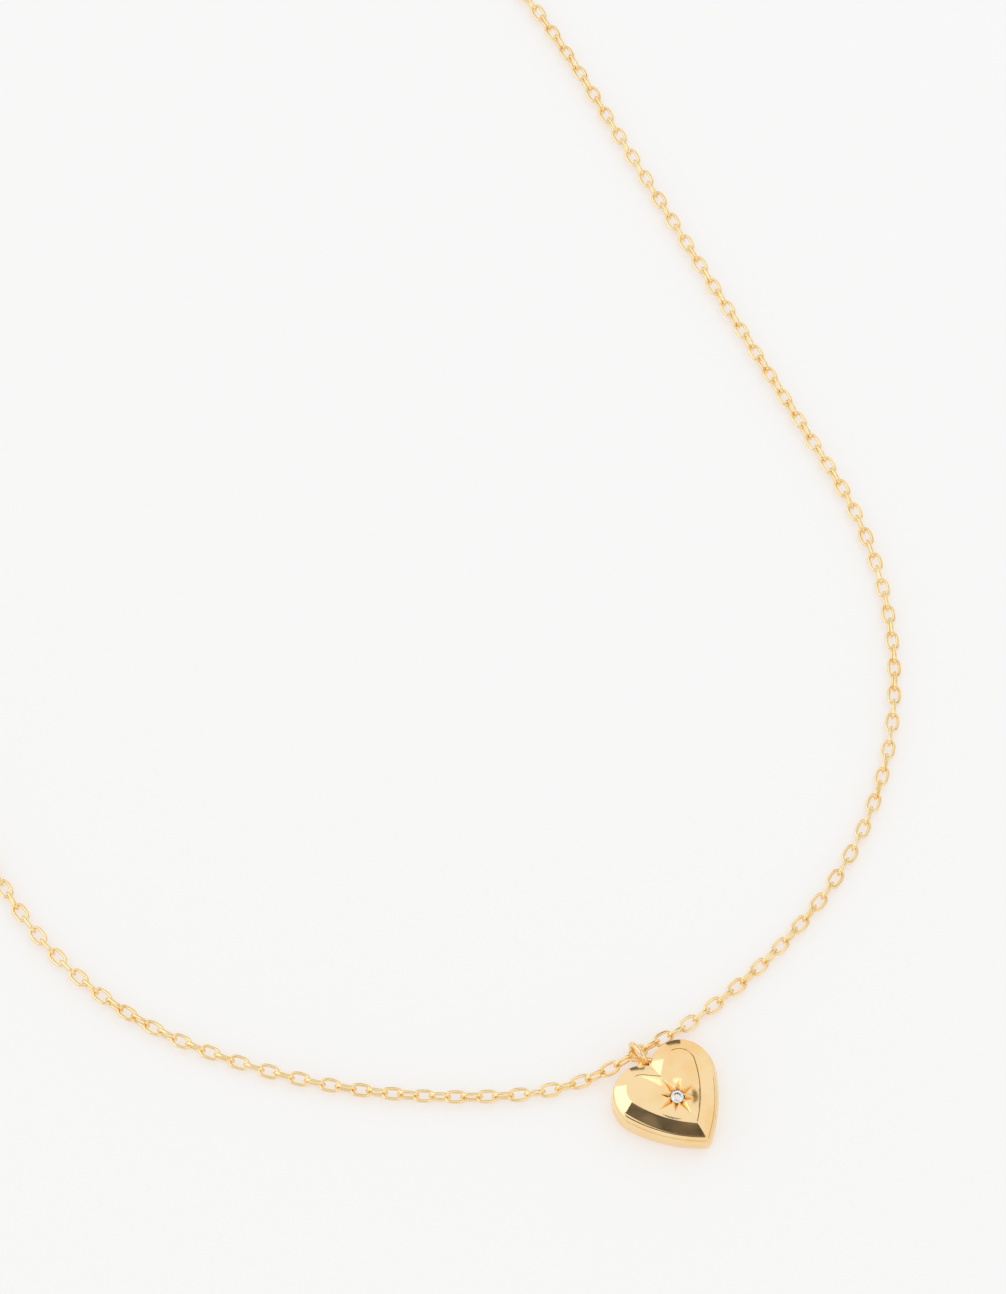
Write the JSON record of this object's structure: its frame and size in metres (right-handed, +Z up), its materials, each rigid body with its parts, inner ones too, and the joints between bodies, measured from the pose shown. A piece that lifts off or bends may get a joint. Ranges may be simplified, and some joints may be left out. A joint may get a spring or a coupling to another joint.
{
  "type": "pendant necklace",
  "caption": "Gold-coloured heart pendant with a star-set round stone, hung by a jump ring on a fine oval cable chain with a lobster clasp and extender.",
  "frame": {"origin": "centre of the heart's flat back, on the surface that the necklace lies on", "axes": "+Z up, out of the heart's face; the heart's notch points 36.5 degrees to the -X side of +Y"},
  "size_m": [0.1492, 0.1436, 0.0031],
  "materials": {
    "gold_chain": "bright gold plate on fine drawn wire",
    "gold_polished": "mirror-polished gold plate",
    "gold_setting": "bright-cut gold plate, deeper in the crevices",
    "stone": "clear round brilliant",
    "spring_steel": "drawn spring wire"
  },
  "bodies": {
    "chain_middle": {"chain_centre": "gold_chain", "chain_right_1": "gold_chain", "chain_left_1": "gold_chain"},
    "pendant_ring": {"pendant_ring": "gold_chain"},
    "heart": {"heart_front": "gold_polished", "heart_back": "gold_polished", "heart_loop": "gold_polished", "stone_seat": "gold_setting", "stone": "stone", "setting_grains": "gold_setting"},
    "right_2": {"chain_right_2": "gold_chain"},
    "right_3": {"chain_right_3": "gold_chain"},
    "right_4": {"chain_right_4": "gold_chain"},
    "right_5": {"chain_right_5": "gold_chain"},
    "right_6": {"chain_right_6": "gold_chain"},
    "right_7": {"chain_right_7": "gold_chain"},
    "left_2": {"chain_left_2": "gold_chain"},
    "left_3": {"chain_left_3": "gold_chain"},
    "left_4": {"chain_left_4": "gold_chain"},
    "left_5": {"chain_left_5": "gold_chain"},
    "left_6": {"chain_left_6": "gold_chain"},
    "clasp_ring": {"clasp_ring": "gold_chain"},
    "clasp": {"clasp_body": "gold_chain", "clasp_rivet": "gold_chain", "clasp_spring": "spring_steel"},
    "clasp_lever": {"clasp_lever": "gold_chain"},
    "extender_ring": {"extender_ring": "gold_chain"},
    "extender_near": {"extender_1": "gold_chain"},
    "extender_far": {"extender_2": "gold_chain"},
    "tag_ring": {"tag_ring": "gold_chain"},
    "end_tag": {"end_tag": "gold_polished"}
  },
  "joints": [
    {"name": "ring_swing", "type": "hinge", "parent": "chain_middle", "child": "pendant_ring", "pos_m": [-0.00321, 0.00433, 0.0014], "axis": [-0.8039, -0.5948, 0], "range_deg": [0, 90]},
    {"name": "heart_swing", "type": "hinge", "parent": "pendant_ring", "child": "heart", "pos_m": [-0.00237, 0.0032, 0.0013], "axis": [0, 0, 1], "range_deg": [-5, 2]},
    {"name": "right_bend_2", "type": "hinge", "parent": "chain_middle", "child": "right_2", "pos_m": [0.01315, 0.01867, 0.00066], "axis": [0, 0, -1], "range_deg": [0, 40]},
    {"name": "right_bend_3", "type": "hinge", "parent": "right_2", "child": "right_3", "pos_m": [0.0208, 0.03649, 0.00066], "axis": [0, 0, -1], "range_deg": [0, 40]},
    {"name": "right_bend_4", "type": "hinge", "parent": "right_3", "child": "right_4", "pos_m": [0.01615, 0.06362, 0.00066], "axis": [0, 0, -1], "range_deg": [0, 40]},
    {"name": "right_bend_5", "type": "hinge", "parent": "right_4", "child": "right_5", "pos_m": [-0.00631, 0.10675, 0.00066], "axis": [0, 0, -1], "range_deg": [-3, 40]},
    {"name": "right_bend_6", "type": "hinge", "parent": "right_5", "child": "right_6", "pos_m": [-0.01481, 0.12123, 0.00066], "axis": [0, 0, -1], "range_deg": [-6, 40]},
    {"name": "right_bend_7", "type": "hinge", "parent": "right_6", "child": "right_7", "pos_m": [-0.03977, 0.13792, 0.00066], "axis": [0, 0, -1], "range_deg": [-12, 40]},
    {"name": "left_bend_2", "type": "hinge", "parent": "chain_middle", "child": "left_2", "pos_m": [-0.0142, 0.00064, 0.00066], "axis": [0, 0, 1], "range_deg": [0, 40]},
    {"name": "left_bend_3", "type": "hinge", "parent": "left_2", "child": "left_3", "pos_m": [-0.04329, 0.00551, 0.00066], "axis": [0, 0, 1], "range_deg": [0, 40]},
    {"name": "left_bend_4", "type": "hinge", "parent": "left_3", "child": "left_4", "pos_m": [-0.059, 0.01846, 0.00066], "axis": [0, 0, 1], "range_deg": [0, 40]},
    {"name": "left_bend_5", "type": "hinge", "parent": "left_4", "child": "left_5", "pos_m": [-0.0711, 0.05238, 0.00066], "axis": [0, 0, 1], "range_deg": [-3, 40]},
    {"name": "left_bend_6", "type": "hinge", "parent": "left_5", "child": "left_6", "pos_m": [-0.0752, 0.08854, 0.00066], "axis": [0, 0, 1], "range_deg": [-8, 40]},
    {"name": "clasp_ring_turn", "type": "hinge", "parent": "right_7", "child": "clasp_ring", "pos_m": [-0.06893, 0.13196, 0.00066], "axis": [0, 0, 1], "range_deg": [-10, 10]},
    {"name": "clasp_turn", "type": "hinge", "parent": "clasp_ring", "child": "clasp", "pos_m": [-0.07046, 0.13088, 0.0008], "axis": [0, 0, 1], "range_deg": [-20, 20]},
    {"name": "lever_open", "type": "hinge", "parent": "clasp", "child": "clasp_lever", "pos_m": [-0.07294, 0.12848, 0.0008], "axis": [0, 0, -1], "range_deg": [0, 25], "stiffness_Nm_per_rad": 0.0002, "springref_deg": -5.73},
    {"name": "extender_ring_turn", "type": "hinge", "parent": "left_6", "child": "extender_ring", "pos_m": [-0.08686, 0.11, 0.00066], "axis": [0, 0, 1], "range_deg": [-10, 10]},
    {"name": "extender_turn", "type": "hinge", "parent": "extender_ring", "child": "extender_near", "pos_m": [-0.08838, 0.11128, 0.00116], "axis": [0, 0, 1], "range_deg": [-25, 25]},
    {"name": "extender_bend", "type": "hinge", "parent": "extender_near", "child": "extender_far", "pos_m": [-0.10683, 0.11628, 0.00116], "axis": [0, 0, 1], "range_deg": [-30, 30]},
    {"name": "tag_ring_turn", "type": "hinge", "parent": "extender_far", "child": "tag_ring", "pos_m": [-0.12339, 0.10265, 0.00116], "axis": [0, 0, 1], "range_deg": [-15, 15]},
    {"name": "tag_turn", "type": "hinge", "parent": "tag_ring", "child": "end_tag", "pos_m": [-0.12408, 0.10076, 0.0007], "axis": [0, 0, 1], "range_deg": [-12, 12]}
  ]
}
